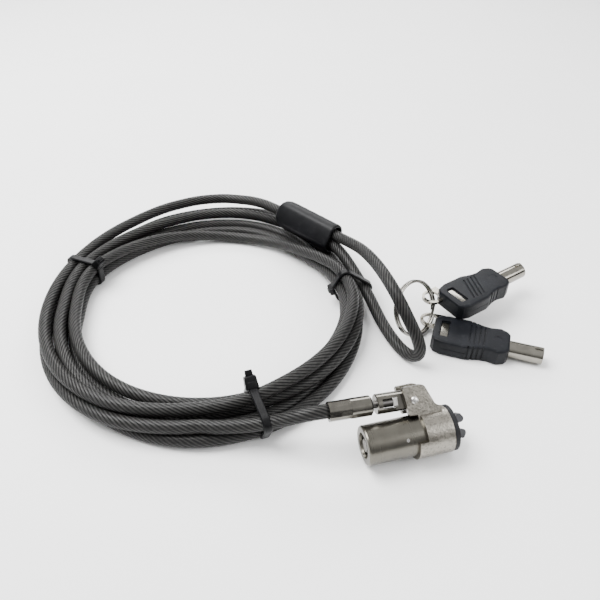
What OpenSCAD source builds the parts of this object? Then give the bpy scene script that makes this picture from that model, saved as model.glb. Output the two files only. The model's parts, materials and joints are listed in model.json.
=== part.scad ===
// Laptop cable lock: a tubular key cylinder with two spreading jaws, a pivoting and
// swivelling cable end, a coated steel rope wound in a tied coil with a sleeved loop,
// and a split ring with two tubular keys.
// Origin: centre of the nose face. +X points out of the nose, +Z is up.

/* [Barrel] */
// Outer diameter of the lock barrel
barrel_d = 13.7; // [13.6:0.1:13.8]
// Distance from the nose face back to the key face
lock_len = 31.6; // [31:0.2:33]
// Diameter of the key hole
key_hole_d = 7.2; // [7.16:0.02:7.3]

/* [Housing] */
// Outer diameter of the collar, which rests on the table
collar_d = 16.2; // [16.2:0.2:17]
// Thickness of each ear
ear_t = 1.9; // [1.6:0.1:2.2]
// Width of the gap between the ears
ear_gap = 5.0; // [5:0.1:5.2]
// Lean of the ears back from upright, in degrees
fin_lean = 44; // [40:1:48]

/* [Swivel] */
// Distance from the barrel axis out to the pivot rivet
rivet_out = 12.2; // [12.2:0.1:12.8]
// Distance from the nose face back to the pivot rivet
rivet_back = 12.5; // [12.4:0.1:12.8]
// Diameter of the yoke
yoke_d = 7.0; // [6.8:0.1:7]
// Rise of the cable end away from the barrel, in degrees
yoke_rise = 2.4; // [0:0.2:4]

/* [Jaws] */
// Width of one jaw along the slot
jaw_w = 2.62; // [2.5:0.02:2.7]
// Thickness of the jaw pair across the slot
jaw_t = 2.7; // [2.5:0.1:2.8]
// Opening of each jaw from closed, in degrees
jaw_open = 8.5; // [8:0.1:8.6]

/* [Cable] */
// Diameter of the coated steel rope
cable_d = 5.0; // [4.9:0.1:5]
// Height of the coil's solid
coil_h = 13; // [12:0.5:14]

/* [Keys] */
// Outer diameter of the key tube
key_tube_d = 7.0; // [6.9:0.05:7]
// Inner diameter of the key tube
key_tube_id = 5.0; // [4.9:0.05:5]
// Length of the moulded key head
key_head_l = 31; // [30:0.5:32]
// Width of the moulded key head
key_head_w = 17; // [16:0.5:17]
// Thickness of the moulded key head
key_head_t = 7.4; // [7.2:0.1:7.4]
// Outer diameter of the split ring
ring_od = 24; // [23.8:0.1:24.2]
// Wire diameter of the split ring
ring_wire = 1.2; // [1:0.1:1.2]

/* [Hidden] */

// Height of the barrel axis, and of the origin, above the table
axis_h = collar_d / 2;
// Small amount by which cutting shapes run past what they cut
cut = 0.5;

// Along-axis stations of the head, measured from the nose face
x_front = -lock_len;
x_counterbore = x_front + 0.8;
x_keyway_end = x_front + 6.0;
x_shear = x_front + 11.05;
x_stator_end = x_front + 19.0;
x_washer = -1.8;
x_wall = -5.6;
x_collar = -11.4;
x_tongue = -14.4;
x_jaw = -3.7;
x_cam_disc = -11.0;
x_cam_web = -10.2;
x_cam_lobe = -9.4;

// Radii inside the barrel
bore_r = 5.2;
post_r = 2.4;
shaft_r = 1.85;
pin_pitch_r = 3.05;
pin_hole_r = 0.56;
pin_r = 0.5;
pin_n = 8;
run = 0.08;

// Ears: outline in the plane of the axis and the lean of the ears
ear_outline = [
  [-16.0, 16.3], [-15.4, 16.9], [-9.4, 16.9], [-8.6, 16.6], [-8.0, 16.0], [-5.6, 9.9],
  [-4.8, 9.2], [-3.4, 8.6], [-3.4, 4.0], [-12.2, 4.0], [-12.2, 7.1], [-15.1, 7.3]
];

// Cable route from the ferrule to the coil, heights above the table
lead_route = [
  [-41.4, 9.5, 18.0], [-44, 9.6, 18.1], [-47, 10, 17.8], [-50.5, 11, 16.6], [-54, 12.3, 14.8],
  [-58, 13.9, 12.6], [-62, 15.4, 10.9], [-67, 16.8, 9.6], [-72, 18, 8.9]
];
// Cable route from the coil up to the loop sleeve
tail_route = [
  [-52, 168, 10], [-45, 164.5, 11], [-38.5, 159, 12.2], [-33, 152.5, 13.2], [-29.6, 147, 13.8],
  [-26.5, 142, 14]
];
// Round the loop: out of the sleeve, over the top, round the tip and back along the table
loop_route = [
  [-7.4, 112.2, 16.1], [-5.6, 107, 17], [-4.4, 100, 19.4], [-3.4, 92, 22.2], [-3, 84, 24.8],
  [-3, 76, 27], [-3, 68, 28.6], [-3, 60, 29.4], [-2.6, 53, 28.8], [-1.6, 47.5, 26.4],
  [0, 43.2, 22.4], [2, 40.2, 17.6], [3.8, 38.2, 12.8], [4.6, 37.2, 9.2], [4.4, 37.2, 6.2],
  [3.4, 38.6, 4.2], [2, 41.4, 3], [0.5, 46, 2.6], [-0.7, 53, 2.7], [-1.3, 61, 2.9],
  [-1.5, 69, 3.6], [-1.9, 77, 5.0], [-3.0, 85, 6.9], [-4.6, 93, 9.3], [-6.2, 101, 11.2],
  [-7.6, 107, 11.8], [-8.8, 110.8, 11.9]
];

// Loop sleeve: the two ends of its axis
sleeve_a = [-26.5, 142, 14];
sleeve_b = [-8.1, 111.5, 14];
sleeve_r = 4.75;
sleeve_half_pitch = 2.5;
// Lean of the sleeve's long section from upright, in degrees
sleeve_roll = 35;

// Coil centre, and its bundle of turns at stations round it: angle from the view
// line's right-hand side, inner radius, outer radius
coil_c = [-70, 87];
view_turn = 14.5;
coil_stations = [
  [0, 54.6, 65.0], [10, 54.0, 65.0], [20, 53.2, 67.2], [30, 53.0, 70.0], [45, 51.6, 74.4],
  [60, 53.2, 80.4], [75, 54.4, 82.6], [92, 55.0, 83.4], [93, 55.0, 85.6], [110, 55.4, 83.6],
  [130, 55.9, 80.3], [150, 56.2, 78.0], [170, 56.5, 76.0], [186, 56.6, 75.0], [208, 56.0, 74.4],
  [230, 54.6, 74.0], [252, 53.0, 73.8], [273, 52.2, 73.4], [290, 52.6, 72.2], [303, 53.0, 70.4],
  [315, 53.6, 69.2], [328, 54.2, 67.4], [340, 54.6, 66.2], [350, 54.8, 65.2]
];
// Height of the turns where they pass under the sleeve, up to the ninth station
coil_low_h = 6.8;
coil_raised = [for (i = [8 : 23]) coil_stations[i]];
tie_w = 3.2;
tie_t = 1.3;

// Split ring pose, and the hole of each key where the ring passes
ring_c = [11, 57.8, 11.6];
ring_n_tilt = 62.95;
ring_n_az = -61.1;
tab_hole_r = 3.1;
tab_t = 1.2;
tab_hole = [-1.8, 7.6];
key_1_at = [20.8, 63, 11.5];
key_1_az = 18.8;
key_2_at = [18.9, 57.4, 3.75];
key_2_az = -33;

// ---- Frames ----

// Shapes whose heights count from the table
module on_table() translate([0, 0, -axis_h]) children();

// Head frame: Z runs out along the ears, Y runs across them
module head_frame() rotate([-fin_lean, 0, 0]) children();

// Yoke frame: origin at the rivet, the cable leaves along -X
module yoke_frame() head_frame() translate([-rivet_back, 0, rivet_out])
  rotate([0, yoke_rise, 0]) children();

// A cylinder along X from x0 to x1
module rod(r, x0, x1) translate([x0, 0, 0]) rotate([0, 90, 0]) cylinder(r = r, h = x1 - x0, $fn = 64);

// A tube along X
module tube(r, ri, x0, x1) difference() {
  rod(r, x0, x1);
  rod(ri, x0 - cut, x1 + cut);
}

// A box by its low and high corners
module box(a, b) translate(a) cube(b - a);

// Copies at the places of the tumbler pins
module pin_places() for (i = [0 : pin_n - 1]) rotate([i * 360 / pin_n, 0, 0])
  translate([0, 0, pin_pitch_r]) children();

// ---- Swept cable ----

function dot3(a, b) = a[0] * b[0] + a[1] * b[1] + a[2] * b[2];
function unit(v) = v / norm(v);
function tangent(p, i) = unit(p[min(i + 1, len(p) - 1)] - p[max(i - 1, 0)]);
function square_to(v, t) = unit(v - t * dot3(v, t));
// Carries a side vector along the route without twist
function side_at(p, i) = i == 0
  ? square_to([0.1, 0.2, 1], tangent(p, 0))
  : square_to(side_at(p, i - 1), tangent(p, i));
function ring_at(p, i, r, n) = let (t = tangent(p, i), u = side_at(p, i), v = cross(t, u))
  [for (k = [0 : n - 1]) p[i] + r * (cos(360 * k / n) * u + sin(360 * k / n) * v)];

// A round tube swept along a route
module sweep(p, r, n = 10) {
  m = len(p);
  points = [for (i = [0 : m - 1]) each ring_at(p, i, r, n)];
  sides = [for (i = [0 : m - 2]) for (k = [0 : n - 1])
    [i * n + k, i * n + (k + 1) % n, (i + 1) * n + (k + 1) % n, (i + 1) * n + k]];
  start = [[for (k = [0 : n - 1]) k]];
  end = [[for (k = [0 : n - 1]) (m - 1) * n + n - 1 - k]];
  polyhedron(points = points, faces = concat(start, [for (f = sides) [f[3], f[2], f[1], f[0]]], end));
}

// ---- Lock head ----

module housing() color("silver") head_frame() difference() {
  union() {
    rod(axis_h, x_collar, x_washer);
    intersection() {
      rod(axis_h, x_tongue, x_collar);
      box([x_tongue, -10, -10], [x_collar, 10, -1.8]);
    }
    for (s = [-1, 1]) translate([0, s * (ear_gap + ear_t) / 2 + ear_t / 2, 0])
      rotate([90, 0, 0]) linear_extrude(ear_t) polygon(ear_outline);
  }
  rod(barrel_d / 2 + 0.02, x_tongue - 3, x_wall);
  // Slot that the jaws swing in
  box([x_wall - cut, -jaw_t / 2 - 0.15, -3.6], [x_washer + cut, jaw_t / 2 + 0.15, 3.6]);
  // Cross hole for the jaw pin
  translate([x_jaw, 5, 0]) rotate([90, 0, 0]) cylinder(r = 0.55, h = 10, $fn = 32);
  // Rivet hole through both ears
  translate([-rivet_back, 6, rivet_out]) rotate([90, 0, 0]) cylinder(r = 1.0, h = 12, $fn = 48);
  // Hole for the pin that holds the barrel
  translate([-8.5, 0, 0]) rotate([-90, 0, 0]) cylinder(r = 0.75, h = 12, $fn = 32);
}

module barrel() color("gainsboro") head_frame() difference() {
  rotate([0, 90, 0]) rotate_extrude($fn = 96) polygon([
    [key_hole_d / 2, x_counterbore], [4.2, x_counterbore], [4.4, x_front], [6.2, x_front],
    [6.6, x_front + 0.15], [barrel_d / 2, x_front + 0.6], [barrel_d / 2, x_wall],
    [bore_r, x_wall], [bore_r, x_keyway_end], [key_hole_d / 2, x_keyway_end]
  ]);
  // Notch for the key's locating nib
  box([x_front - cut, -0.65, key_hole_d / 2 - 0.4], [x_keyway_end - 0.4, 0.65, 4.5]);
  // Holes for the stator pin and for the pin that holds the barrel
  translate([x_stator_end - 5.4, 0, 0]) rotate([90, 0, 0]) cylinder(r = 0.6, h = 8, $fn = 32);
  translate([-8.5, 0, 0]) rotate([-90, 0, 0]) cylinder(r = 0.75, h = 8, $fn = 32);
}

module barrel_pin() color("darkgray") head_frame()
  translate([-8.5, 5.4, 0]) rotate([-90, 0, 0]) cylinder(r = 0.75, h = 2.6, $fn = 32);

module stator() color("khaki") head_frame() difference() {
  rod(bore_r, x_shear + 0.05, x_stator_end);
  rod(shaft_r + run, x_shear - cut, x_stator_end + cut);
  pin_places() rod(pin_hole_r, x_shear - cut, x_stator_end - 0.8);
  translate([x_stator_end - 5.4, -3.9, 0]) rotate([90, 0, 0]) cylinder(r = 0.6, h = 8, $fn = 32);
}

module stator_pin() color("dimgray") head_frame()
  translate([x_stator_end - 5.4, -3.9, 0]) rotate([90, 0, 0]) cylinder(r = 0.6, h = 2.9, $fn = 32);

module spindle() color("khaki") head_frame() difference() {
  union() {
    rod(post_r - 0.25, x_front + 0.5, x_front + 0.9);
    rod(post_r, x_front + 0.9, x_keyway_end + 0.1);
    rod(bore_r - run, x_keyway_end + 0.1, x_shear);
    rod(shaft_r, x_shear, x_cam_disc);
    rod(1.3, x_cam_disc, x_cam_web);
  }
  pin_places() rod(pin_hole_r, x_keyway_end - cut, x_shear + cut);
}

module key_pins() color("gold") head_frame()
  pin_places() rod(pin_r, x_keyway_end + 0.3, x_shear - 0.02);

module driver_pins() color("goldenrod") head_frame()
  pin_places() rod(pin_r, x_shear + 0.07, x_shear + 3);

module pin_springs() color("lightgray") head_frame()
  pin_places() tube(pin_r, pin_r - 0.2, x_shear + 3.05, x_stator_end - 0.8);

module retaining_clip() color("gray") head_frame() difference() {
  tube(3.0, shaft_r, x_stator_end + 0.1, x_stator_end + 0.8);
  box([x_stator_end - cut, -1.2, 0], [x_stator_end + 2, 1.2, 4]);
}

module drive_cam() color("darkgoldenrod") head_frame() union() {
  tube(4.2, 1.3, x_cam_disc, x_cam_web);
  rod(4.2, x_cam_web, x_cam_lobe);
  for (s = [-1, 1]) translate([0, 0, 0.55 * s]) rod(0.75, x_cam_lobe, -7.6);
  box([x_cam_lobe, -0.75, -0.55], [-7.6, 0.75, 0.55]);
}

// One jaw, closed, with its pivot at the origin and its tip along +X
module jaw() difference() {
  union() {
    translate([0, jaw_t / 2, 0]) rotate([90, 0, 0]) cylinder(r = 1.45, h = jaw_t / 2 - 0.05, $fn = 48);
    box([0, 0.05, 0.08], [2.2, jaw_t / 2, jaw_w]);
    box([1.7, -jaw_t / 2, 0.08], [7.6, jaw_t / 2, jaw_w]);
    // Rounded tip with an outward hook
    translate([7.6, jaw_t / 2, jaw_w / 2 + 0.04]) rotate([90, 0, 0])
      cylinder(r = jaw_w / 2 - 0.04, h = jaw_t, $fn = 48);
    translate([7.5, jaw_t / 2, jaw_w - 0.35]) rotate([90, 0, 0]) cylinder(r = 0.95, h = jaw_t, $fn = 48);
    // Tail that the cam lobe spreads
    box([-4.3, 0.05, -2.1], [0, jaw_t / 2, -0.9]);
  }
  translate([0, 3, 0]) rotate([90, 0, 0]) cylinder(r = 0.62, h = 6, $fn = 32);
}

module jaw_upper() color("slategray") head_frame()
  translate([x_jaw, 0, 0]) rotate([0, -jaw_open, 0]) jaw();

module jaw_lower() color("slategray") head_frame() rotate([180, 0, 0])
  translate([x_jaw, 0, 0]) rotate([0, -jaw_open, 0]) jaw();

module jaw_pin() color("gray") head_frame()
  translate([x_jaw, 4.9, 0]) rotate([90, 0, 0]) cylinder(r = 0.55, h = 9.8, $fn = 32);

module nose_washer() color("black") head_frame() difference() {
  rod(axis_h - 0.2, x_washer, 0);
  box([x_washer - cut, -jaw_t / 2 - 0.25, -3.8], [cut, jaw_t / 2 + 0.25, 3.8]);
}

// ---- Swivel and cable end ----

module pivot_rivet() color("silver") head_frame() translate([-rivet_back, 0, rivet_out]) union() {
  half = ear_gap / 2 + ear_t;
  translate([0, half, 0]) rotate([90, 0, 0]) cylinder(r = 1.0, h = 2 * half, $fn = 48);
  // Domed heads
  for (s = [-1, 1]) rotate([-90 * s, 0, 0]) translate([0, 0, half]) rotate_extrude($fn = 48)
    polygon([[0, 0], [1.35, 0], [1.25, 0.35], [0.9, 0.62], [0.45, 0.75], [0, 0.8]]);
}

module swivel_yoke() color("gainsboro") yoke_frame() difference() {
  union() {
    rotate([0, 90, 0]) rotate_extrude($fn = 64) polygon([
      [0, -12.5], [yoke_d / 2 - 0.3, -12.5], [yoke_d / 2, -12.2], [yoke_d / 2, -6.3], [0, -6.3]
    ]);
    intersection() {
      union() {
        rod(yoke_d / 2, -6.3, 0);
        translate([0, 5, 0]) rotate([90, 0, 0]) cylinder(r = 3.4, h = 10, $fn = 64);
      }
      box([-6.4, -ear_gap / 2 + 0.06, -5], [4, ear_gap / 2 - 0.06, 5]);
    }
  }
  // Rivet hole, slot and the hole for the stud's neck
  translate([0, 5, 0]) rotate([90, 0, 0]) cylinder(r = 1.06, h = 10, $fn = 48);
  box([-10.7, -5, -1.65], [-5.2, 5, 1.65]);
  rod(1.33, -14, -10);
}

module swivel_stud() color("dimgray") yoke_frame() union() {
  rod(1.25, -16, -10.6);
  rod(1.55, -10.6, -6.4);
}

module ferrule() color("gainsboro") yoke_frame() difference() {
  union() {
    rotate([0, 90, 0]) rotate_extrude($fn = 64) polygon([
      [0, -21.4], [3.5, -21.4], [3.5, -14.5], [3.0, -14], [0, -14]
    ]);
    // Crimped half with six pressed flats
    intersection() {
      rod(3.45, -29, -21.3);
      rotate([15, 0, 0]) translate([-29, 0, 0]) rotate([0, 90, 0]) cylinder(r = 3.8, h = 7.8, $fn = 6);
    }
  }
  rod(cable_d / 2, -30, -18);
  rod(1.25, -16, -13);
}

// ---- Cable ----

module cable_lead() color("dimgray") on_table() sweep(lead_route, cable_d / 2);

function polar(st, k) = [st[k] * cos(st[0]), st[k] * sin(st[0])];

// The bundle of turns as one solid: a low ring all round, and its raised part
module cable_coil() color("dimgray") on_table() translate([coil_c[0], coil_c[1], 0])
  rotate([0, 0, -view_turn]) union() {
    linear_extrude(coil_low_h) difference() {
      polygon([for (st = coil_stations) polar(st, 2)]);
      polygon([for (st = coil_stations) polar(st, 1)]);
    }
    linear_extrude(coil_h) polygon(concat(
      [for (st = coil_raised) polar(st, 2)],
      [for (i = [len(coil_raised) - 1 : -1 : 0]) polar(coil_raised[i], 1)]
    ));
  }

module cable_tail() color("dimgray") on_table() sweep(tail_route, cable_d / 2);

module cable_loop() color("dimgray") on_table() sweep(loop_route, cable_d / 2, 8);

// Sleeve frame: X runs from the coil end to the mouth, Z up the long section
module sleeve_frame() {
  d = sleeve_b - sleeve_a;
  on_table() translate(sleeve_a) rotate([0, 0, atan2(d[1], d[0])]) rotate([-sleeve_roll, 0, 0])
    children();
}

// An oval bar along X, made of two rods and the box between them
module oval_bar(r, half, x0, x1) union() {
  for (s = [-1, 1]) translate([0, 0, s * half]) rod(r, x0, x1);
  box([x0, -r, -half], [x1, r, half]);
}

sleeve_l = norm(sleeve_b - sleeve_a);

module loop_sleeve() color("black") sleeve_frame() difference() {
  oval_bar(sleeve_r, sleeve_half_pitch, 0, sleeve_l);
  oval_bar(3.6, sleeve_half_pitch, 7, 24);
  rod(2.6, -cut, 8);
  oval_bar(2.7, sleeve_half_pitch, 23, sleeve_l + cut);
}

module loop_crimp() color("silver") sleeve_frame() difference() {
  oval_bar(3.55, sleeve_half_pitch, 8, 23);
  oval_bar(2.55, sleeve_half_pitch, 7, 24);
}

// A strap round the coil's section at an angle: radii r0 to r1, heights z0 to z1
module tie_strap(az, r0, r1, z0, z1) on_table() translate([coil_c[0], coil_c[1], 0])
  rotate([0, 0, az]) difference() {
    box([r0, -tie_w / 2, z0], [r1, tie_w / 2, z1]);
    box([r0 + tie_t, -tie_w, z0 + tie_t], [r1 - tie_t, tie_w, z1 - tie_t]);
  }

// The lock box of a tie, leaning outward on its strap
module tie_head(az, r, z, lean) on_table() translate([coil_c[0], coil_c[1], 0])
  rotate([0, 0, az]) translate([r, 0, z]) rotate([0, lean, 0]) difference() {
    box([-1.8, -2.6, 0], [1.8, 2.6, 6]);
    box([-0.8, -tie_w / 2, -1], [0.8, tie_w / 2, 7]);
  }

module tie_front() color("black") tie_strap(-83.5, 51.4, 73.5, 0, 14.8);
module tie_front_head() color("black") tie_head(-83.5, 58.2, 13.6, -40);
module tie_left() color("black") tie_strap(143, 55, 78.7, 0, 12.8);
module tie_left_head() color("black") tie_head(143, 58.8, 11.2, -50);
module tie_right() color("black") tie_strap(-3.5, 52.6, 71.3, 0, 17);
module tie_right_head() color("black") tie_head(-3.5, 53.6, 6, -100);

// ---- Keys ----

module key_ring() color("silver") on_table() translate(ring_c)
  rotate([0, 0, ring_n_az]) rotate([0, ring_n_tilt, 0]) rotate_extrude($fn = 96) union() {
    for (s = [-1, 1]) translate([ring_od / 2 - ring_wire / 2, s * ring_wire / 2 * 0.98])
      circle(d = ring_wire, $fn = 24);
  }

// Key frame: origin at the rear end of the head, the tube points along +X
module key_frame(at, az) on_table() translate(at) rotate([0, 0, az])
  translate([-tab_hole[0], -tab_hole[1], 0]) children();

// Steel insert: the tube, its nib and the flat tab with the ring hole
module key_blade() difference() {
  union() {
    rod(key_tube_d / 2, key_head_l - 6, key_head_l + 13);
    box([key_head_l + 9.6, -0.55, key_tube_d / 2 - 0.4], [key_head_l + 12.6, 0.55, key_tube_d / 2 + 0.5]);
    box([2, -2, -tab_t / 2], [key_head_l - 4, 6, tab_t / 2]);
    box([-2, 3.2, -tab_t / 2], [4, 11.5, tab_t / 2]);
    translate([-2, 7.35, -tab_t / 2]) cylinder(r = 4.15, h = tab_t, $fn = 64);
  }
  rod(key_tube_id / 2, key_head_l - 2, key_head_l + 14);
  translate([tab_hole[0], tab_hole[1], -2]) cylinder(r = tab_hole_r, h = 4, $fn = 64);
}

// Moulded head: outline with a waist near the tube, and a window through the top skin
module key_head() difference() {
  w = key_head_w / 2;
  translate([0, 0, -key_head_t / 2]) linear_extrude(key_head_t) polygon([
    [0, -w + 3], [1.5, -w + 1], [5, -w], [15, -w], [20, -w + 1.6], [23, -w + 1.9], [27, -w + 1.2],
    [30, -w + 2.4], [key_head_l, -w + 4], [key_head_l, w - 4], [30, w - 2.4], [27, w - 1.2],
    [23, w - 1.9], [20, w - 1.6], [15, w], [5, w], [1.5, w - 1], [0, w - 3]
  ]);
  rod(key_tube_d / 2, key_head_l - 6, key_head_l + cut);
  box([2, -2, -tab_t / 2], [key_head_l - 4, 6, tab_t / 2]);
  box([-3, 3.2, -tab_t / 2], [4, 11.5, tab_t / 2]);
  box([3.4, -4, key_head_t / 2 - 1.2], [6.4, 4, key_head_t]);
}

module key_1_blade() color("silver") key_frame(key_1_at, key_1_az) key_blade();
module key_1_head() color("dimgray") key_frame(key_1_at, key_1_az) key_head();
module key_2_blade() color("silver") key_frame(key_2_at, key_2_az) key_blade();
module key_2_head() color("dimgray") key_frame(key_2_at, key_2_az) key_head();

housing();
barrel();
barrel_pin();
stator();
stator_pin();
spindle();
key_pins();
driver_pins();
pin_springs();
retaining_clip();
drive_cam();
jaw_upper();
jaw_lower();
jaw_pin();
nose_washer();
pivot_rivet();
swivel_yoke();
swivel_stud();
ferrule();
cable_lead();
cable_coil();
cable_tail();
cable_loop();
loop_crimp();
loop_sleeve();
tie_front();
tie_front_head();
tie_left();
tie_left_head();
tie_right();
tie_right_head();
key_ring();
key_1_blade();
key_1_head();
key_2_blade();
key_2_head();
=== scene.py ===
import json
import math
import bmesh
import bpy
import numpy as np
from mathutils import Matrix, Vector


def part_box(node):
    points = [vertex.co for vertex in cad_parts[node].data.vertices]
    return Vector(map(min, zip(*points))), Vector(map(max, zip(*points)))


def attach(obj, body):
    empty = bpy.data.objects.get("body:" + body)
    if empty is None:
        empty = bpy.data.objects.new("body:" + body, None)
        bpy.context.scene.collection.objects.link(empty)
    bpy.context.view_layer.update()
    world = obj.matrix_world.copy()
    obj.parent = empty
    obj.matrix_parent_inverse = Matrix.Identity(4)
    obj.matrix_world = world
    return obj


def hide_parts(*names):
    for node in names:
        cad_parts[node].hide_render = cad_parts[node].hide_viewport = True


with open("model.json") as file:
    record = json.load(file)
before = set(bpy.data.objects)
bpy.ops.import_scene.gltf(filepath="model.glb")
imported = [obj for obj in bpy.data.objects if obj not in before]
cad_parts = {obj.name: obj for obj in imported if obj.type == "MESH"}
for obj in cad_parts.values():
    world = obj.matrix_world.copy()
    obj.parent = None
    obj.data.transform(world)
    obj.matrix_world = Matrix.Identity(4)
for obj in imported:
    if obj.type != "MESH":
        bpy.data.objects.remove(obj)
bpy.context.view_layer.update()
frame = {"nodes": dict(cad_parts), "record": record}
NODES = frame["nodes"]
MM = 0.001
TABLE_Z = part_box("cable_coil")[0].z  # the surface that everything stands on

VIEW_TURN = 14.5  # degrees that the photo's camera is turned off the row frame's +Y

# ---------------------------------------------------------------- camera
CAMERA_AT = (-0.08289, -0.11349, 0.1669)
CAMERA_TILT = 50  # degrees up from straight down

cam_data = bpy.data.cameras.new("camera")
cam_data.lens, cam_data.sensor_width = 36.0, 36.0
cam = bpy.data.objects.new("camera", cam_data)
cam.location = CAMERA_AT
cam.rotation_euler = (math.radians(CAMERA_TILT), 0, math.radians(-VIEW_TURN))
bpy.context.scene.collection.objects.link(cam)
bpy.context.scene.camera = cam


# ---------------------------------------------------------------- node helpers
class Mat:
    """A small builder for one node-based material."""

    def __init__(self, name, **sockets):
        self.m = bpy.data.materials.new(name)
        self.m.use_nodes = True
        self.t = self.m.node_tree
        self.bsdf = self.t.nodes["Principled BSDF"]
        for key, value in sockets.items():
            self.bsdf.inputs[key.replace("_", " ")].default_value = value
        self.co = self.node("ShaderNodeTexCoord").outputs["Object"]

    def node(self, kind, **props):
        n = self.t.nodes.new(kind)
        for key, value in props.items():
            setattr(n, key, value)
        return n

    def put(self, socket, value):
        if isinstance(value, bpy.types.NodeSocket):
            self.t.links.new(value, socket)
        else:
            socket.default_value = value

    def scaled(self, scale, co=None):
        n = self.node("ShaderNodeMapping")
        self.put(n.inputs["Vector"], co or self.co)
        n.inputs["Scale"].default_value = scale
        return n.outputs["Vector"]

    def noise(self, scale, detail=3, rough=0.55, co=None):
        n = self.node("ShaderNodeTexNoise")
        self.put(n.inputs["Vector"], co or self.co)
        n.inputs["Scale"].default_value = scale
        n.inputs["Detail"].default_value = detail
        n.inputs["Roughness"].default_value = rough
        return n.outputs["Fac"]

    def math(self, op, a, b=0.0):
        n = self.node("ShaderNodeMath", operation=op)
        for i, v in enumerate((a, b)):
            self.put(n.inputs[i], v)
        return n.outputs[0]

    def ramp(self, fac, *stops):
        n = self.node("ShaderNodeValToRGB")
        self.put(n.inputs["Fac"], fac)
        el = n.color_ramp.elements
        while len(el) < len(stops):
            el.new(0.5)
        for e, (pos, col) in zip(el, stops):
            e.position = pos
            e.color = (*col, 1) if len(col) == 3 else col
        return n.outputs["Color"]

    def fit(self, value, a, b, lo, hi):
        n = self.node("ShaderNodeMapRange")
        for i, v in enumerate((value, a, b, lo, hi)):
            self.put(n.inputs[i], v)
        return n.outputs[0]

    def mix(self, fac, a, b, mode="MIX"):
        n = self.node("ShaderNodeMix", data_type="RGBA", blend_type=mode)
        self.put(n.inputs["Factor"], fac)
        self.put(n.inputs["A"], a)
        self.put(n.inputs["B"], b)
        return n.outputs["Result"]

    def bump(self, height, distance, strength=1.0, normal=None):
        n = self.node("ShaderNodeBump")
        n.inputs["Strength"].default_value = strength
        n.inputs["Distance"].default_value = distance
        self.put(n.inputs["Height"], height)
        if normal is not None:
            self.put(n.inputs["Normal"], normal)
        return n.outputs["Normal"]

    def set(self, **links):
        for key, value in links.items():
            self.put(self.bsdf.inputs[key.replace("_", " ")], value)
        return self.m


def metal(name, base, rough, grain=0.0, speck=0.0, rough_var=0.06, turned=0.0):
    """Metal with fine wear, optional cast grain and optional lines turned round X."""
    m = Mat(name, Metallic=1.0)
    cloud = m.noise(260, 4)
    fine = m.noise(2600, 3, 0.6)
    dark = tuple(c * 0.86 for c in base)
    light = tuple(min(1, c * 1.06) for c in base)
    col = m.ramp(cloud, (0.32, dark), (0.7, light))
    if speck:
        spots = m.ramp(m.noise(1500, 2, 0.5), (0.36, (1 - speck,) * 3), (0.5, (1, 1, 1)))
        col = m.mix(1.0, col, spots, "MULTIPLY")
    mottle = m.math("ADD", cloud, m.math("MULTIPLY", fine, 0.5))
    r = m.fit(mottle, 0.45, 1.05, rough - rough_var, rough + rough_var)
    height = m.math("MULTIPLY", fine, 0.15)
    normal = None
    if turned:
        rings = m.noise(1.0, 3, 0.7, m.scaled((14000, 120, 120)))
        bands = m.noise(1.0, 2, 0.5, m.scaled((2200, 20, 20)))
        r = m.math("ADD", r, m.math("MULTIPLY", m.math("SUBTRACT", bands, 0.5), 0.18))
        col = m.mix(0.35, col, m.ramp(rings, (0.3, dark), (0.7, light)))
        normal = m.bump(rings, turned, 0.6)
    if grain:
        height = m.math("ADD", m.noise(1250, 4, 0.6), m.math("MULTIPLY", m.noise(420, 2), 0.8))
        return m.set(Base_Color=col, Roughness=r, Normal=m.bump(height, grain, 0.9))
    return m.set(Base_Color=col, Roughness=r, Normal=m.bump(height, 0.00002, 0.5, normal))


def plastic(name, base, rough, texture=0.00003, scale=5200, wear=0.5):
    """Moulded plastic or rubber: fine texture, faint colour clouds, rubbed patches."""
    m = Mat(name, Specular_IOR_Level=0.13)
    cloud = m.noise(120, 3)
    skin = m.noise(scale, 2, 0.5)
    rub = m.noise(420, 4, 0.65)
    col = m.ramp(cloud, (0.3, tuple(c * 0.8 for c in base)), (0.75, tuple(c * 1.35 for c in base)))
    dust = m.fit(rub, 0.56, 0.8, 0.0, 0.12 * wear)
    col = m.mix(dust, col, (0.32, 0.32, 0.33, 1))
    r = m.fit(rub, 0.3, 0.75, rough - 0.07, rough + 0.09)
    h = m.math("ADD", skin, m.math("MULTIPLY", rub, 0.6))
    return m.set(Base_Color=col, Roughness=r, Normal=m.bump(h, texture, 0.8))


def rope_material():
    """Twisted steel wires seen through smoky clear PVC. UV: u counts wires, v the length."""
    m = Mat("coated_rope", Metallic=0.1, Coat_Weight=0.1, Coat_Roughness=0.18,
            Coat_IOR=1.48, Specular_IOR_Level=0.12)
    uv = m.node("ShaderNodeUVMap", uv_map="wires").outputs["UV"]
    split = m.node("ShaderNodeSeparateXYZ")
    m.put(split.inputs[0], uv)
    wire = m.math("ABSOLUTE", m.math("SINE", m.math("MULTIPLY", split.outputs["X"], math.pi)))
    # each wire is a little uneven along the rope
    wobble = m.noise(1.0, 3, 0.6, m.scaled((0.9, 2.6, 1), uv))
    smoke = m.noise(90, 3)
    level = m.math("MULTIPLY", wire, m.fit(wobble, 0.3, 0.7, 0.75, 1.12))
    # the colour is painted shade, near black, in the grooves between the wires, and a painted highlight
    # that grows lighter towards each wire's crest
    col = m.ramp(level, (0.1, (0.001, 0.001, 0.001)), (0.5, (0.0055, 0.0054, 0.0051)),
                 (0.98, (0.036, 0.0352, 0.0335)))
    col = m.mix(m.fit(smoke, 0.35, 0.7, 0.0, 0.4), col, (0.014, 0.014, 0.0145, 1))
    rough = m.fit(level, 0.0, 1.0, 0.62, 0.4)
    inner = m.bump(wire, 0.00024, 0.9)
    outer = m.bump(m.math("ADD", m.math("MULTIPLY", wire, 0.5), m.noise(240, 2)), 0.00014, 0.7)
    return m.set(Base_Color=col, Roughness=rough, Normal=inner, Coat_Normal=outer)


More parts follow.
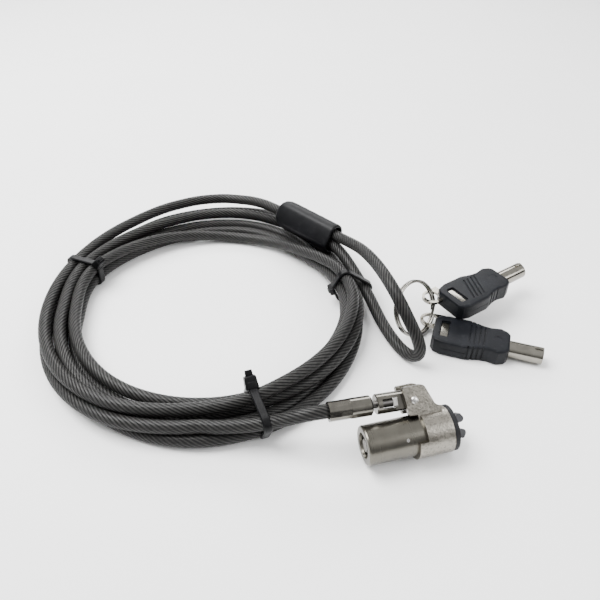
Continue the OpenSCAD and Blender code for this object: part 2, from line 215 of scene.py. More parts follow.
MATS = {
    "cast_zinc": metal("cast_zinc", (0.27, 0.254, 0.220), 0.32, grain=0.00012, speck=0.35),
    "satin_nickel": metal("satin_nickel", (0.135, 0.128, 0.109), 0.3, rough_var=0.02, turned=0.00001),
    "bright_nickel": metal("bright_nickel", (0.165, 0.157, 0.138), 0.2),
    "steel": metal("steel", (0.55, 0.54, 0.52), 0.28),
    "brass": metal("brass", (0.72, 0.55, 0.27), 0.26),
    "plug_metal": metal("plug_metal", (0.17, 0.160, 0.138), 0.3, turned=0.00003),
    "jaw_steel": metal("jaw_steel", (0.09, 0.09, 0.095), 0.42, grain=0.00004),
    "dark_steel": metal("dark_steel", (0.17, 0.165, 0.16), 0.36),
    "rubber": plastic("rubber", (0.012, 0.012, 0.013), 0.5),
    "sleeve_plastic": plastic("sleeve_plastic", (0.003, 0.0031, 0.0038), 0.4, 0.00002, 3000, 0.1),
    "tie_nylon": plastic("tie_nylon", (0.003, 0.003, 0.0034), 0.36, 0.000015, 4000, 0.1),
    "ring_steel": metal("ring_steel", (0.27, 0.262, 0.24), 0.2),
    "key_nickel": metal("key_nickel", (0.25, 0.238, 0.208), 0.17),
    "key_plastic": plastic("key_plastic", (0.005, 0.0056, 0.0073), 0.42, 0.00003, 6500, 0.3),
    "coated_rope": rope_material(),
}
for part in frame["record"]["subparts"]:
    node = NODES[part["node"]]
    node.data.materials.clear()
    node.data.materials.append(MATS[part["material_slot"]])


def make(name, verts, faces, material, uvs=None):
    me = bpy.data.meshes.new(name)
    me.from_pydata([tuple(v) for v in verts], [], faces)
    me.validate()
    me.polygons.foreach_set("use_smooth", [True] * len(me.polygons))
    if uvs is not None:
        layer = me.uv_layers.new(name="wires")
        layer.data.foreach_set("uv", np.asarray(uvs, np.float32).ravel())
    me.materials.append(MATS[material])
    ob = bpy.data.objects.new(name, me)
    bpy.context.scene.collection.objects.link(ob)
    return ob


def row(p):
    """Millimetres over the table to metres in the row frame."""
    p = np.asarray(p, float) * MM
    p[..., 2] += TABLE_Z
    return p


# ---------------------------------------------------------------- the rope's route
# From here on, places are in millimetres: X and Y of the row frame, and the height over the table
CABLE_D = 5.0
COIL_C = (-70.0, 87.0)
# Out of the ferrule and down onto the coil; from the coil into the sleeve; and round the loop
LEAD = [[-41.4, 9.5, 18.0], [-44, 9.6, 18.1], [-47, 10, 17.8], [-50.5, 11, 16.6], [-54, 12.3, 14.8],
        [-58, 13.9, 12.6], [-62, 15.4, 10.9], [-67, 16.8, 9.6]]
TAIL = [[-45, 164.5, 11], [-38.5, 159, 12.2], [-33, 152.5, 13.2], [-29.6, 147, 13.8], [-26.5, 142, 14]]
LOOP = [[-7.4, 112.2, 16.1], [-5.6, 107, 17], [-4.4, 100, 19.4], [-3.4, 92, 22.2], [-3, 84, 24.8],
        [-3, 76, 27], [-3, 68, 28.6], [-3, 60, 29.4], [-2.6, 53, 28.8], [-1.6, 47.5, 26.4],
        [0, 43.2, 22.4], [2, 40.2, 17.6], [3.8, 38.2, 12.8], [4.6, 37.2, 9.2], [4.4, 37.2, 6.2],
        [3.4, 38.6, 4.2], [2, 41.4, 3], [0.5, 46, 2.6], [-0.7, 53, 2.7], [-1.3, 61, 2.9],
        [-1.5, 69, 3.6], [-1.9, 77, 5.0], [-3.0, 85, 6.9], [-4.6, 93, 9.3], [-6.2, 101, 11.2],
        [-7.6, 107, 11.8], [-8.8, 110.8, 11.9]]
# The sleeve: the middles of its two ends, and its oval section
SLEEVE_A = np.array([-26.5, 142, 14.0])
SLEEVE_B = np.array([-8.1, 111.5, 14.0])
SLEEVE_AXIS = (SLEEVE_B - SLEEVE_A) / np.linalg.norm(SLEEVE_B - SLEEVE_A)
SLEEVE_UP = np.array([0.491, 0.296, 0.819])  # long way across its oval section
SLEEVE_HALF, SLEEVE_R = 2.5, 4.75  # half the pitch of its two half circles, and their radius
# One list per turn: view angle, radius and height of the rope at stations round the coil. The view
# angle is 0 at the photo's right, 90 at its back, and falls as the rope runs on.
TURNS = [
    [(278, 67.8, 8.4), (273, 66.6, 8.0), (240, 68.8, 6.0), (186, 69.6, 3.2), (158, 71.9, 3.8),
     (130, 75.2, 3.6), (112, 78.8, 3.8), (84, 80.5, 4.0), (60, 78.5, 4.0), (45, 73.0, 3.6),
     (30, 69.0, 3.0), (20, 66.8, 2.6), (10, 64.8, 3.0), (-4, 63.0, 3.7), (-18, 63.2, 3.0),
     (-45, 65.0, 2.6)],
    [(273, 68.6, 3.4), (240, 66.2, 3.0), (186, 63.3, 2.6), (158, 66.7, 3.8), (130, 67.4, 3.6),
     (84, 69.5, 3.0), (60, 66.3, 2.6), (45, 61.3, 2.6), (30, 60.0, 2.6), (20, 59.5, 3.0),
     (-4, 58.0, 3.7), (-45, 60.0, 2.6)],
    [(273, 63.5, 3.6), (240, 63.4, 5.0), (186, 63.2, 7.7), (158, 66.8, 8.9), (130, 68.2, 8.6),
     (84, 73.0, 7.4), (60, 72.0, 5.0), (45, 66.5, 4.3), (27, 61.5, 6.9), (20, 60.8, 7.6),
     (-4, 62.6, 8.7), (-45, 61.6, 7.4)],
    [(273, 58.4, 3.6), (240, 58.6, 3.0), (186, 57.9, 2.6), (158, 61.4, 3.8), (130, 61.8, 3.2),
     (84, 63.9, 2.6), (60, 61.2, 3.0), (45, 57.0, 4.2), (30, 56.2, 6.4), (20, 56.0, 7.8),
     (-4, 57.8, 8.7), (-45, 56.4, 6.4)],
    [(273, 53.4, 3.6), (240, 55.8, 5.4), (186, 57.7, 7.7), (158, 61.3, 8.9), (130, 59.8, 7.4),
     (84, 57.4, 2.9), (60, 56.3, 4.4), (45, 54.5, 7.5), (30, 55.5, 10.5), (20, 57.5, 12.0),
     (-4, 60.3, 13.0), (-45, 59.4, 11.0)],
    [(273, 60.0, 8.9), (240, 65.5, 10.0), (186, 69.5, 8.2), (158, 72.2, 8.9), (130, 77.4, 9.0),
     (110, 81.8, 9.9), (98, 83.4, 10.2), (92, 83.4, 10.3)],
]
TIE_AT = {"front": -83.5, "left": 143.0, "right": -3.5}  # angle from +X round COIL_C
TIE_LIFT = 1.25  # thickness of strap under the rope


def pchip(x, y, q):
    """Monotone cubic interpolation, so the rope does not overshoot a station."""
    h = np.diff(x)
    d = np.diff(y) / h
    m = np.zeros_like(y)
    for i in range(1, len(x) - 1):
        if d[i - 1] * d[i] > 0:
            w1, w2 = 2 * h[i] + h[i - 1], h[i] + 2 * h[i - 1]
            m[i] = (w1 + w2) / (w1 / d[i - 1] + w2 / d[i])
    i = np.clip(np.searchsorted(x, q) - 1, 0, len(x) - 2)
    t = (q - x[i]) / h[i]
    return (y[i] * (1 + 2 * t) * (1 - t) ** 2 + m[i] * h[i] * t * (1 - t) ** 2
            + y[i + 1] * t * t * (3 - 2 * t) + m[i + 1] * h[i] * t * t * (t - 1))


def dense(points, gap=2.0):
    """The same line with points at most the gap apart."""
    out = [np.asarray(points[0], float)]
    for a, b in zip(points[:-1], points[1:]):
        a, b = np.asarray(a, float), np.asarray(b, float)
        n = max(1, int(math.ceil(np.linalg.norm(b - a) / gap)))
        out += [a + (b - a) * (i + 1) / n for i in range(n)]
    return np.array(out)


STATION_STEP = 5.0  # degrees between the points that are relaxed
RELAX_ROUNDS = 400
SAME_STRETCH = 12  # points this near along the rope do not push each other
REACH = 4.2  # how far along the rope a neighbouring point still counts
TIE_REACH = 7.0  # degrees either side of a tie that its strap lifts the rope


def stations():
    """The turns' stations, joined by a smooth curve, as points in the row frame."""
    st = np.array([(a - 360 * k, r, z) for k, turn in enumerate(TURNS) for a, r, z in turn], float)
    s = -st[:, 0]
    q = np.arange(s[0], s[-1] + 1e-6, STATION_STEP)
    if s[-1] - q[-1] < STATION_STEP / 2:
        q[-1] = s[-1]
    r, z = pchip(s, st[:, 1], q), pchip(s, st[:, 2], q)
    a = np.radians(-q - VIEW_TURN)
    return np.c_[COIL_C[0] + r * np.cos(a), COIL_C[1] + r * np.sin(a), z]


def lowest_height(P):
    """Least height of the rope's centre at each point: the table, or a strap on the table."""
    here = np.degrees(np.arctan2(P[:, 1] - COIL_C[1], P[:, 0] - COIL_C[0]))
    low = np.full(len(P), CABLE_D / 2)
    for t in TIE_AT.values():
        off = np.abs((here - t + 180) % 360 - 180)
        low = np.maximum(low, CABLE_D / 2 + TIE_LIFT * np.clip(1.6 - off / TIE_REACH, 0, 1))
    return low


def push_from_rope(P, far):
    """Moves that part each point from the other stretches of rope beside it."""
    need = CABLE_D + 0.05
    D = P[:, None, :] - P[None, :, :]
    T = np.gradient(P, axis=0)
    T /= np.linalg.norm(T, axis=1)[:, None]
    along = (D * T[None, :, :]).sum(2)
    side = D - along[:, :, None] * T[None, :, :]
    dist = np.sqrt((side ** 2).sum(2)) + 1e-9
    hit = far & (dist < need) & (np.abs(along) < REACH)
    w = np.where(hit, (need - dist) / dist, 0) * np.clip(1.3 - np.abs(along) / REACH, 0, 1)
    return (side * w[:, :, None]).sum(1) / np.maximum(1, hit.sum(1))[:, None]


def push_from_points(P, points, gap):
    """Moves that part each point of the rope from fixed points, each with its own gap."""
    D = P[:, None, :] - points[None, :, :]
    dist = np.sqrt((D ** 2).sum(2)) + 1e-9
    w = np.where(dist < gap, (gap - dist) / dist, 0)
    return (D * w[:, :, None]).sum(1) / np.maximum(1, (w > 0).sum(1))[:, None]


def wound_route():
    """Lead, coil and tail. The turns start at their stations and are then pushed apart until
    they lie beside and on each other, clear of the sleeve, the loop and the table."""
    P = np.vstack([LEAD, stations(), TAIL])
    home, n = P.copy(), len(P)
    idx = np.arange(n)
    far = np.abs(idx[:, None] - idx[None, :]) > SAME_STRETCH
    free = np.ones(n, bool)
    free[:len(LEAD) - 1] = False
    free[-len(TAIL):] = False
    low = np.where(free, lowest_height(P), 0)
    # the loop and the two sides of the sleeve stay where they are
    loop = dense(LOOP[4:])
    rods = np.vstack([dense([SLEEVE_A + k * SLEEVE_UP, SLEEVE_B + k * SLEEVE_UP])
                      for k in (-SLEEVE_HALF, SLEEVE_HALF)])
    fixed = np.vstack([loop, rods])
    gap = np.r_[np.full(len(loop), CABLE_D + 0.1), np.full(len(rods), SLEEVE_R + CABLE_D / 2 + 0.1)]
    for step in range(RELAX_ROUNDS):
        push, push_fixed = push_from_rope(P, far), push_from_points(P, fixed, gap)
        Q = P.copy()
        Q[free] += 0.55 * push[free] + 0.8 * push_fixed[free]
        if step < RELAX_ROUNDS * 0.9:
            Q[free] += 0.01 * (home - Q)[free]
        # smooth the displacement along the rope, less in the last rounds
        k = 0.25 if step < RELAX_ROUNDS * 0.85 else 0.08
        moved = Q - home
        smooth = moved.copy()
        smooth[1:-1] = (1 - 2 * k) * moved[1:-1] + k * (moved[:-2] + moved[2:])
        P = np.where(free[:, None], home + smooth, P)
        P[:, 2] = np.maximum(P[:, 2], low)
    return P


def spline(P, gap):
    """Centripetal Catmull-Rom through P, then points an even gap apart."""
    P = np.asarray(P, float)
    P = np.vstack([2 * P[0] - P[1], P, 2 * P[-1] - P[-2]])
    out = []
    for i in range(1, len(P) - 2):
        p0, p1, p2, p3 = P[i - 1:i + 3]
        t0 = 0.0
        t1 = t0 + np.linalg.norm(p1 - p0) ** 0.5
        t2 = t1 + np.linalg.norm(p2 - p1) ** 0.5
        t3 = t2 + np.linalg.norm(p3 - p2) ** 0.5
        t = np.linspace(t1, t2, 12, endpoint=False)[:, None]
        a1 = (t1 - t) / (t1 - t0) * p0 + (t - t0) / (t1 - t0) * p1
        a2 = (t2 - t) / (t2 - t1) * p1 + (t - t1) / (t2 - t1) * p2
        a3 = (t3 - t) / (t3 - t2) * p2 + (t - t2) / (t3 - t2) * p3
        b1 = (t2 - t) / (t2 - t0) * a1 + (t - t0) / (t2 - t0) * a2
        b2 = (t3 - t) / (t3 - t1) * a2 + (t - t1) / (t3 - t1) * a3
        out.append((t2 - t) / (t2 - t1) * b1 + (t - t1) / (t2 - t1) * b2)
    out = np.vstack(out + [P[-2:-1]])
    s = np.r_[0, np.cumsum(np.linalg.norm(np.diff(out, axis=0), axis=1))]
    q = np.linspace(0, s[-1], int(round(s[-1] / gap)) + 1)
    return np.c_[[np.interp(q, s, out[:, k]) for k in range(3)]].T


def frames(C):
    """Tangent and two side vectors at each point, carried along without twist."""
    T = np.gradient(C, axis=0)
    T /= np.linalg.norm(T, axis=1)[:, None]
    U = np.zeros_like(C)
    u = np.cross(T[0], (0.13, 0.2, 1.0))
    for i, t in enumerate(T):
        u = u - t * np.dot(u, t)
        u /= np.linalg.norm(u)
        U[i] = u
    return T, U, np.cross(T, U)


def tube(name, C, radius, sides, material, lay=None, wires=12, relief=0.0):
    """A swept tube in millimetres. With lay, its sides wind once round in that length, as the
    wires of a rope do, and every wire stands a little proud."""
    n = len(C)
    T, U, V = frames(C)
    s = np.r_[0, np.cumsum(np.linalg.norm(np.diff(C, axis=0), axis=1))]
    k = np.arange(sides)
    phi = 2 * math.pi * (k[None, :] / sides + (s[:, None] / lay if lay else np.zeros((n, 1))))
    rad = radius - relief * (1 - np.abs(np.sin(math.pi * wires * k / sides)))[None, :, None]
    side = np.cos(phi)[:, :, None] * U[:, None, :] + np.sin(phi)[:, :, None] * V[:, None, :]
    verts = (C[:, None, :] + rad * side).reshape(-1, 3)
    faces, uvs = [], []
    for i in range(n - 1):
        for j in range(sides):
            j2 = (j + 1) % sides
            faces.append((i * sides + j, (i + 1) * sides + j, (i + 1) * sides + j2, i * sides + j2))
            w0, w1 = wires * j / sides, wires * (j + 1) / sides
            uvs += [(w0, s[i] / 5), (w0, s[i + 1] / 5), (w1, s[i + 1] / 5), (w1, s[i] / 5)]
    for i in (0, n - 1):
        faces.append(tuple(i * sides + j for j in range(sides)))
        uvs += [(0.5, 0)] * sides
    ob = make(name, row(verts), faces, material, uvs)
    bm = bmesh.new()
    bm.from_mesh(ob.data)
    bmesh.ops.recalc_face_normals(bm, faces=bm.faces)
    bm.to_mesh(ob.data)
    bm.free()
    return ob


SLEEVE_L = np.linalg.norm(SLEEVE_B - SLEEVE_A)
LAY = 27.0  # length in which the wires go once round the rope


def eased(t):
    """0 to 1 with a level start and end, over 12 mm that begin 4 mm into the sleeve."""
    return 0.5 - 0.5 * math.cos(math.pi * min(1, max(0, (t - 4) / 12)))


# through the upper side of the sleeve, round the loop, and back into its lower side
in_sleeve = [SLEEVE_A + SLEEVE_AXIS * t + SLEEVE_UP * SLEEVE_HALF * eased(t)
             for t in np.linspace(4, SLEEVE_L - 3, 8)]
back_in = [SLEEVE_B - SLEEVE_AXIS * t - SLEEVE_UP * SLEEVE_HALF
           for t in np.linspace(3, SLEEVE_L - 10, 6)]
ROUTE = spline(np.vstack([wound_route(), in_sleeve, LOOP, back_in]), 1.25)
rope = tube("rope", ROUTE, CABLE_D / 2, 24, "coated_rope", lay=LAY, relief=0.05)
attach(rope, "cable")
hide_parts("cable_lead", "cable_coil", "cable_tail", "cable_loop")


# ---------------------------------------------------------------- ties
TIE_W, TIE_T = 3.1, 1.1
# Half section of the strap: (across its width as a share of it, out of its thickness)
TIE_PROFILE = [(-0.5, 0.0), (-0.5, 0.7), (-0.38, 1.0), (0.38, 1.0), (0.5, 0.7), (0.5, 0.0)]
LOOP_HEIGHT = 19.0  # rope above this height belongs to the loop, not to the coil


def tie_section(az):
    """Where the rope crosses the upright plane of a tie: (radius, height) of each pass."""
    a = math.radians(az)
    across = (ROUTE[:, :2] - COIL_C) @ np.array([-math.sin(a), math.cos(a)])
    r = (ROUTE[:, :2] - COIL_C) @ np.array([math.cos(a), math.sin(a)])
    return [(r[i], ROUTE[i, 2]) for i in range(len(r) - 1)
            if across[i] * across[i + 1] <= 0 and 40 < r[i] < 80 and ROUTE[i, 2] < LOOP_HEIGHT]


def hull_line(centres, radius, n=72):
    """The taut line round discs, as pairs of a point and the direction out of it."""
    out = []
    c = np.array(centres)
    last = None
    for k in range(n):
        t = 2 * math.pi * k / n
        d = np.array([math.cos(t), math.sin(t)])
        best = int(np.argmax(c @ d))
        if last is not None and best != last:
            tm = t - math.pi / n
            dm = np.array([math.cos(tm), math.sin(tm)])
            out += [(last, dm), (best, dm)]
        out.append((best, d))
        last = best
    return [(c[b] + radius * d, d) for b, d in out]


def rounded_box(size, bevel, taper=1.0):
    """A bevelled box, base centre at the origin, Z up, with its top narrowed by taper."""
    bm = bmesh.new()
    bmesh.ops.create_cube(bm, size=1)
    for v in bm.verts:
        k = taper if v.co.z > 0 else 1
        v.co = Vector((v.co.x * size[0] * k, v.co.y * size[1] * k, (v.co.z + 0.5) * size[2]))
    bmesh.ops.bevel(bm, geom=bm.edges[:], offset=bevel, segments=3, affect="EDGES", profile=0.6)
    verts = [v.co.copy() for v in bm.verts]
    faces = [[v.index for v in f.verts] for f in bm.faces]
    bm.free()
    return verts, faces


def tie_axes(az):
    """The tie's plane: the coil's centre on the table, the way out and the way along the rope."""
    a = math.radians(az)
    return (np.array([*COIL_C, 0]), np.array([math.cos(a), math.sin(a), 0]),
            np.array([-math.sin(a), math.cos(a), 0]))


def tie_strap(name, az):
    """A strap pulled tight round the turns, flat where it lies on the table."""
    centre, out, along = tie_axes(az)
    line = hull_line(tie_section(az), CABLE_D / 2 + 0.02)
    verts = []
    for p, d in line:
        for u, h in TIE_PROFILE:
            q = p + d * TIE_T * h
            verts.append(centre + out * q[0] + along * TIE_W * u + np.array([0, 0, max(q[1], 0.02)]))
    n, m = len(line), len(TIE_PROFILE)
    faces = [(i * m + k, i * m + (k + 1) % m, ((i + 1) % n) * m + (k + 1) % m, ((i + 1) % n) * m + k)
             for i in range(n) for k in range(m)]
    return finished(make(name, row(np.array(verts)), faces, "tie_nylon"), 40)


def tie_box(name, az, head_dir, head_len, nub_len):
    """The lock box, standing out of the strap in head_dir (degrees in the tie's plane): its body,
    the cut end of the strap and a collar round its foot."""
    centre, out, along = tie_axes(az)
    t = math.radians(head_dir)
    d = np.array([math.cos(t), math.sin(t)])
    c = np.array(tie_section(az))
    foot = c[int(np.argmax(c @ d))] + d * (CABLE_D / 2 + 0.35)
    base = centre + out * foot[0] + np.array([0, 0, foot[1]])
    up = out * d[0] + np.array([0, 0, d[1]])
    side = np.cross(up, along)
    verts, faces = [], []
    for size, bevel, taper, lift in (((3.7, 5.0, head_len), 0.55, 0.86, 0.0),
                                     ((1.25, 2.9, nub_len), 0.2, 0.9, head_len - 0.3),
                                     ((4.1, 3.4, head_len * 0.55), 0.4, 0.9, 0.2)):
        v, f = rounded_box(size, bevel, taper)
        first = len(verts)
        verts += [base + side * p[0] + along * p[1] + up * (p[2] + lift) for p in v]
        faces += [[first + i for i in g] for g in f]
    return finished(make(name, row(np.array(verts)), faces, "tie_nylon"), 35)


def fix_normals(ob):
    """Joins doubled points and turns every face outwards."""
    bm = bmesh.new()
    bm.from_mesh(ob.data)
    bmesh.ops.remove_doubles(bm, verts=bm.verts, dist=1e-7)
    bmesh.ops.recalc_face_normals(bm, faces=bm.faces)
    bm.to_mesh(ob.data)
    bm.free()


def smooth_by_angle(ob, degrees):
    """Smooth shading with hard edges kept where faces meet at more than that angle."""
    me = ob.data
    bm = bmesh.new()
    bm.from_mesh(me)
    for e in bm.edges:
        e.smooth = len(e.link_faces) == 2 and e.calc_face_angle(0) < math.radians(degrees)
    for f in bm.faces:
        f.smooth = True
    bm.to_mesh(me)
    bm.free()


def finished(ob, degrees):
    fix_normals(ob)
    smooth_by_angle(ob, degrees)
    return ob


for side, head_dir, head_len, nub_len in (("front", 128, 4.8, 2.4), ("left", 128, 4.4, 1.4),
                                          ("right", 200, 2.2, 0.7)):
    strap = tie_strap("tie_strap_" + side, TIE_AT[side])
    box = tie_box("tie_strap_" + side + "_box", TIE_AT[side], head_dir, head_len, nub_len)
    for ob, node in ((strap, "tie_" + side), (box, "tie_" + side + "_head")):
        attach(ob, "cable")
        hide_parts(node)


# ---------------------------------------------------------------- sleeve
# Outline of the sleeve: (position along its axis, radius, half pitch of its oval)
SLEEVE_MOUTH = [(0.15, 2.75, 0.15), (0.0, 3.3, 0.35), (0.25, 3.9, 0.8), (0.9, 4.35, 1.3), (2.0, 4.6, 1.9),
                (4.0, 4.72, 2.35), (7.0, 4.75, 2.5)]
# The open end, with positions counted back from it: the rim, then the hollow that the loop leaves
SLEEVE_END = [(2.2, 4.75), (0.9, 4.74), (0.3, 4.62), (0, 4.35), (0, 3.75), (0.3, 3.5), (1.0, 3.38),
              (4.0, 3.3), (6.5, 2.55)]


def sleeve():
    """The moulded sleeve: one strand goes in at the narrow mouth, two come out of the open end."""
    side = np.cross(SLEEVE_UP, SLEEVE_AXIS)
    outline = list(SLEEVE_MOUTH)
    # the long middle is a little uneven, as moulded rubber is
    outline += [(x, SLEEVE_R + 0.05 * math.sin(x * 1.1), SLEEVE_HALF)
                for x in np.linspace(9, SLEEVE_L - 4, 12)]
    outline += [(SLEEVE_L - back, r, SLEEVE_HALF) for back, r in SLEEVE_END]
    n, m = 56, len(outline)
    verts = []
    for x, r, half in outline:
        for k in range(n):
            c, s = math.cos(2 * math.pi * k / n), math.sin(2 * math.pi * k / n)
            # stadium outline: the half circles sit half a pitch up and down
            up = r * s + (half if s > 1e-9 else -half if s < -1e-9 else 0)
            out = r * c * (0.985 if abs(s) < 0.3 else 1)  # the flat sides are a little hollow
            verts.append(SLEEVE_A + SLEEVE_AXIS * x + side * out + SLEEVE_UP * up)
    faces = [(i * n + k, (i + 1) * n + k, (i + 1) * n + (k + 1) % n, i * n + (k + 1) % n)
             for i in range(m - 1) for k in range(n)]
    faces.append(tuple((m - 1) * n + k for k in range(n)))
    faces.append(tuple(range(n)))
    return finished(make("sleeve", row(np.array(verts)), faces, "sleeve_plastic"), 50)


sleeve_ob = sleeve()
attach(sleeve_ob, "cable")
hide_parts("loop_sleeve")

tuple(row(np.array(LEAD[0])))
[tuple(p) for p in row(ROUTE[::2])] + [tuple(row(ROUTE[-1]))]

# ---------------------------------------------------------------- split ring
RING_C = np.array([11.0, 57.8, 11.6])
RING_TILT, RING_AZ = 62.95, -61.1  # degrees, of the ring's axis
RING_OD, WIRE = 24.0, 1.2
RING_SPLIT = 60.0  # degrees round the ring to the outer end of its wire
RING_GAP = 9.0  # degrees by which the two turns fall short
STEP_SPAN = 40.0  # degrees within which the wire steps across at the split


def rotation(degrees, axis, size=4):
    return Matrix.Rotation(math.radians(degrees), size, axis)


def split_ring():
    """Two turns of wire side by side, with a smooth step across at the split."""
    rot = np.array(rotation(RING_AZ, "Z", 3) @ rotation(RING_TILT, "Y", 3))
    R = RING_OD / 2 - WIRE / 2
    start = math.radians(RING_SPLIT)

    def shift(t):
        x = (t - 2 * math.pi + math.radians(STEP_SPAN / 2)) / math.radians(STEP_SPAN)
        x = min(1.0, max(0.0, x))
        return (3 * x * x - 2 * x ** 3) * 2 - 1

    turn = np.linspace(0, 4 * math.pi - math.radians(RING_GAP), 240)
    C = np.array([[R * math.cos(t + start), R * math.sin(t + start), shift(t) * WIRE * 0.51] for t in turn])
    ob = tube("split_ring", C @ rot.T + RING_C, WIRE / 2, 14, "ring_steel")
    return finished(ob, 50)


ring = split_ring()
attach(ring, "key_ring")
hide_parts("key_ring")

# ---------------------------------------------------------------- key heads
KEY_L, KEY_W, KEY_T = 31.0, 17.0, 7.4
TAB_HOLE = (-1.8, 7.6)
WINDOW_X, WINDOW_DEPTH = 4.9, 1.2
# Where each key's tab hole is over the table, and the way that its tube points
KEYS = {1: ((20.8, 63.0, 11.5), 18.8), 2: ((18.9, 57.4, 3.75), -33.0)}
# Finger grooves across the top, and ribs cut into both edges
GROOVES = {1: {"size": (0.75, 12.5, 1.1), "start": 11.6, "step": 2.0, "turn": -24},
           2: {"size": (0.8, 11.0, 1.0), "start": 15.2, "step": 1.9, "turn": 0}}
RIBS = {1: {"count": 3, "size": (0.9, 1.5), "start": 17.6, "step": 2.3,
            "inset": 0.9, "deeper": 0.35, "bevel": 0.35},
        2: {"count": 4, "size": (0.8, 1.4), "start": 15.2, "step": 1.9,
            "inset": 0.55, "deeper": 0.3, "bevel": 0.3}}


def key_place(index):
    """From a key's own millimetres, with the tube along +X, to millimetres over the table."""
    at, az = KEYS[index]
    return Matrix.Translation(at) @ rotation(az, "Z") @ Matrix.Translation((-TAB_HOLE[0], -TAB_HOLE[1], 0))


def key_outline():
    w = KEY_W / 2
    half = [(0.3, -w + 3), (1.6, -w + 1), (5, -w), (10, -w), (15, -w), (20, -w + 1.5), (23, -w + 1.8),
            (27, -w + 1.1), (30, -w + 2.4), (KEY_L, -w + 4)]
    return half + [(x, -y) for x, y in reversed(half)]


def key_body(name):
    """The uncut head: its outline as a plate with rounded rims."""
    bm = bmesh.new()
    bottom = [bm.verts.new((x, y, 0)) for x, y in key_outline()]
    face = bm.faces.new(bottom)
    bm.normal_update()
    raised = bmesh.ops.extrude_face_region(bm, geom=[face])["geom"]
    for v in raised:
        if isinstance(v, bmesh.types.BMVert):
            v.co.z = KEY_T / 2
    for v in bottom:
        v.co.z = -KEY_T / 2
    bmesh.ops.recalc_face_normals(bm, faces=bm.faces)
    rim = [e for e in bm.edges if abs(e.verts[0].co.z - e.verts[1].co.z) < 1e-6]
    bmesh.ops.bevel(bm, geom=rim, offset=1.15, segments=4, affect="EDGES", profile=0.62, clamp_overlap=True)
    return linked(name, bm)


def linked(name, bm):
    """A new object in the scene that takes the bmesh."""
    me = bpy.data.meshes.new(name)
    bm.to_mesh(me)
    bm.free()
    ob = bpy.data.objects.new(name, me)
    bpy.context.scene.collection.objects.link(ob)
    return ob


def block(size, at, turn=0.0, bevel=0.25):
    """A cutter: a bevelled block."""
    bm = bmesh.new()
    bmesh.ops.create_cube(bm, size=1)
    for v in bm.verts:
        v.co = Vector((v.co.x * size[0], v.co.y * size[1], v.co.z * size[2]))
    bmesh.ops.bevel(bm, geom=bm.edges[:], offset=bevel, segments=2, affect="EDGES")
    bm.transform(Matrix.Translation(at) @ rotation(turn, "Z"))
    return linked("cut", bm)


def dimple(radius, depth, at):
    """A cutter: a shallow round hollow that narrows."""
    bm = bmesh.new()
    bmesh.ops.create_cone(bm, cap_ends=True, segments=40, radius1=radius, radius2=radius * 0.8, depth=depth)
    bm.transform(Matrix.Translation(at))
    return linked("cut", bm)


def key_cutters(index):
    top = KEY_T / 2
    groove, rib = GROOVES[index], RIBS[index]
    cutters = [block((3.8, 9.6, 2 * WINDOW_DEPTH), (WINDOW_X, 0, top), bevel=0.35)]
    for i in range(4):
        cutters.append(block(groove["size"], (groove["start"] + groove["step"] * i, 0, top),
                             turn=groove["turn"], bevel=0.3))
    for i in range(rib["count"]):
        y = KEY_W / 2 - rib["inset"] - rib["deeper"] * i
        for side in (-1, 1):
            cutters.append(block((*rib["size"], KEY_T + 1), (rib["start"] + rib["step"] * i, side * y, 0),
                                 bevel=rib["bevel"]))
    cutters.append(dimple(2.1, 0.5, (26.2, 0, top + 0.08)))
    for side in (-1, 1):  # mould parting line
        cutters.append(block((24.0, 0.5, 0.22), (13.0, side * (KEY_W / 2 + 0.07), 0), bevel=0.05))
    cutters.append(block((11.0, 7.0, 1.36), (-1.6, 8.2, 0.0), bevel=0.1))  # where the tab comes out
    return cutters


def key_head(index):
    """Moulded head: rounded rims, window, finger grooves and side ribs."""
    ob = key_body(f"key_{index}_grip")
    cutters = key_cutters(index)
    for cutter in cutters:
        mod = ob.modifiers.new("cut", "BOOLEAN")
        mod.operation, mod.solver, mod.object = "DIFFERENCE", "EXACT", cutter
    cut_mesh = bpy.data.meshes.new_from_object(ob.evaluated_get(bpy.context.evaluated_depsgraph_get()))
    ob.modifiers.clear()
    ob.data = cut_mesh
    for cutter in cutters:
        bpy.data.objects.remove(cutter)
    bm = bmesh.new()
    bm.from_mesh(cut_mesh)
    bmesh.ops.remove_doubles(bm, verts=bm.verts, dist=1e-4)
    bm.to_mesh(cut_mesh)
    bm.free()
    cut_mesh.transform(Matrix.Translation((0, 0, TABLE_Z)) @ Matrix.Scale(MM, 4) @ key_place(index))
    cut_mesh.materials.clear()
    cut_mesh.materials.append(MATS["key_plastic"])
    smooth_by_angle(ob, 32)
    return ob


def key_plate(index):
    """Plain light metal plate seen in the window."""
    verts, faces = rounded_box((3.0, 8.4, 0.5), 0.12)
    place = key_place(index) @ Matrix.Translation((WINDOW_X, 0, KEY_T / 2 - WINDOW_DEPTH - 0.05))
    ob = make(f"key_{index}_plate", row(np.array([list(place @ v) for v in verts])), faces, "key_nickel")
    smooth_by_angle(ob, 30)
    return ob


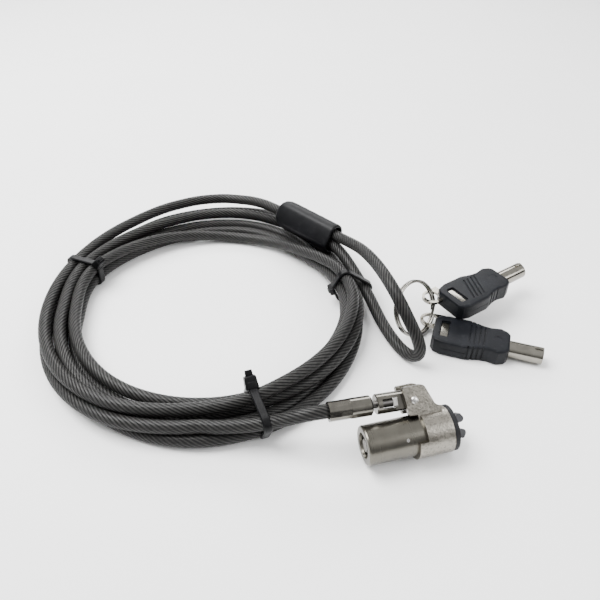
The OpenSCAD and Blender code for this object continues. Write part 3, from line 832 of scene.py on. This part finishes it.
for i in (1, 2):
    grip = key_head(i)
    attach(grip, f"key_{i}")
    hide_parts(f"key_{i}_head")
    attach(key_plate(i), f"key_{i}")

# ---------------------------------------------------------------- floor and light
FLOOR_DROP = 0.00002  # keeps the floor just clear of what stands on it
floor_mat = Mat("floor")
floor_tone = floor_mat.ramp(floor_mat.noise(6, 2), (0.3, (0.91,) * 3), (0.7, (0.94,) * 3))
floor_mat.set(Base_Color=floor_tone, Roughness=0.75)
bpy.ops.mesh.primitive_plane_add(size=6, location=(0, 0, TABLE_Z - FLOOR_DROP))
floor_ob = bpy.context.object
floor_ob.name = "floor"
floor_ob.data.materials.append(floor_mat.m)


LIT_POINT = Vector((-0.05, 0.06, 0.0))  # where the lights are aimed


def area(name, size, watts, at):
    """A rectangular white light aimed at the object."""
    data = bpy.data.lights.new(name, "AREA")
    data.shape, data.size, data.size_y, data.energy = "RECTANGLE", size[0], size[1], watts
    lamp = bpy.data.objects.new(name, data)
    lamp.location = at
    lamp.rotation_euler = (Vector(at) - LIT_POINT).to_track_quat("Z", "Y").to_euler()
    bpy.context.scene.collection.objects.link(lamp)


area("key_light", (0.5, 0.5), 15.0, (-0.35, 0.25, 0.65))
area("back_light", (0.9, 0.25), 7.0, (0.05, 0.75, 0.45))
area("fill_light", (0.4, 0.4), 3.5, (0.45, -0.25, 0.4))

# a sky that is dark near the horizon and pale overhead: pairs of (height of the view ray, grey)
SKY = ((0.12, 0.08), (0.75, 0.95))
world = bpy.data.worlds.new("studio")
world.use_nodes = True
wt = world.node_tree
sky = wt.nodes.new("ShaderNodeTexCoord").outputs["Generated"]
up = wt.nodes.new("ShaderNodeSeparateXYZ")
wt.links.new(sky, up.inputs[0])
fade = wt.nodes.new("ShaderNodeValToRGB")
for el, (pos, v) in zip(fade.color_ramp.elements, SKY):
    el.position, el.color = pos, (v, v, v, 1)
wt.links.new(up.outputs["Z"], fade.inputs["Fac"])
wt.links.new(fade.outputs["Color"], wt.nodes["Background"].inputs["Color"])
wt.nodes["Background"].inputs["Strength"].default_value = 1.15
bpy.context.scene.world = world
